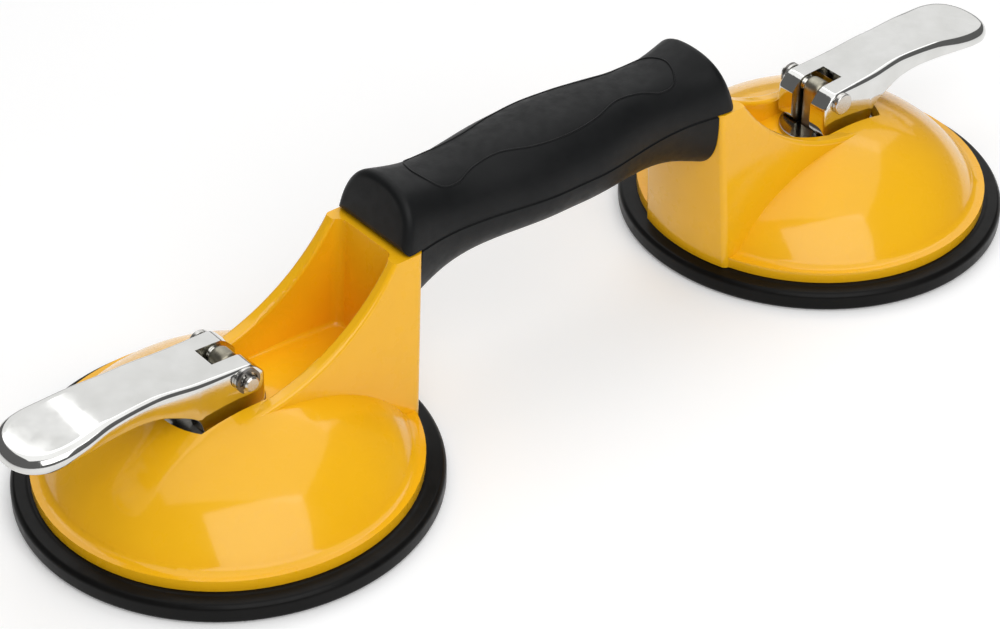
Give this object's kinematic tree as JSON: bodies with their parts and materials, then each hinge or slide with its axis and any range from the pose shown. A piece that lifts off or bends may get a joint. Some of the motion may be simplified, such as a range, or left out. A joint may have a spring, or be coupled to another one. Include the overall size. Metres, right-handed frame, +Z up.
{
  "type": "vacuum suction lifter",
  "caption": "Hand-held lifter with round rubber suction cups under cast domes, each drawn tight by a cam lever, joined by an arched grip.",
  "frame": {"origin": "midway between the two cups, on the plane that the rubber pads rest on", "axes": "+X along the tool from the left cup to the right cup, +Z up, away from the held surface"},
  "size_m": [0.351, 0.1174, 0.0754],
  "materials": {
    "yellow_paint": "gloss",
    "grip_black": "satin",
    "grip_soft": "matte",
    "pad_rubber": "satin",
    "chrome": "polished",
    "plate_steel": "polished",
    "link_steel": "satin",
    "pin_steel": "satin",
    "clip_steel": "satin",
    "zinc_steel": "satin"
  },
  "bodies": {
    "frame": {"body_casting": "yellow_paint", "grip_upper_shell": "grip_black", "grip_lower_shell": "grip_black", "grip_inlay": "grip_soft", "grip_screws": "zinc_steel", "left_suction_pad": "pad_rubber", "left_wear_plate": "plate_steel", "right_suction_pad": "pad_rubber", "right_wear_plate": "plate_steel"},
    "left_draw": {"left_core_plate": "zinc_steel", "left_core_stud": "zinc_steel", "left_lock_nut": "zinc_steel", "left_draw_link": "link_steel", "left_pivot_pin": "pin_steel", "left_pin_washer": "pin_steel", "left_retaining_clip": "clip_steel"},
    "left_lever": {"left_cam_lever": "chrome"},
    "right_draw": {"right_core_plate": "zinc_steel", "right_core_stud": "zinc_steel", "right_lock_nut": "zinc_steel", "right_draw_link": "link_steel", "right_pivot_pin": "pin_steel", "right_pin_washer": "pin_steel", "right_retaining_clip": "clip_steel"},
    "right_lever": {"right_cam_lever": "chrome"}
  },
  "joints": [
    {"name": "left_draw_slide", "type": "slide", "parent": "frame", "child": "left_draw", "axis": [0, 0, -1], "range_m": [0, 0.0055], "deforming": ["left_suction_pad"]},
    {"name": "left_lever_hinge", "type": "hinge", "parent": "left_draw", "child": "left_lever", "pos_m": [-0.1087, 0, 0.0401], "axis": [0, 1, 0], "range_deg": [0, 90]},
    {"name": "right_draw_slide", "type": "slide", "parent": "frame", "child": "right_draw", "axis": [0, 0, -1], "range_m": [0, 0.0055], "deforming": ["right_suction_pad"]},
    {"name": "right_lever_hinge", "type": "hinge", "parent": "right_draw", "child": "right_lever", "pos_m": [0.1087, 0, 0.0401], "axis": [0, -1, 0], "range_deg": [0, 90]}
  ],
  "couplings": [
    {"joint": "left_draw_slide", "follows": "left_lever_hinge", "m_per_rad": 0.0034377},
    {"joint": "right_draw_slide", "follows": "right_lever_hinge", "m_per_rad": 0.0034377}
  ]
}
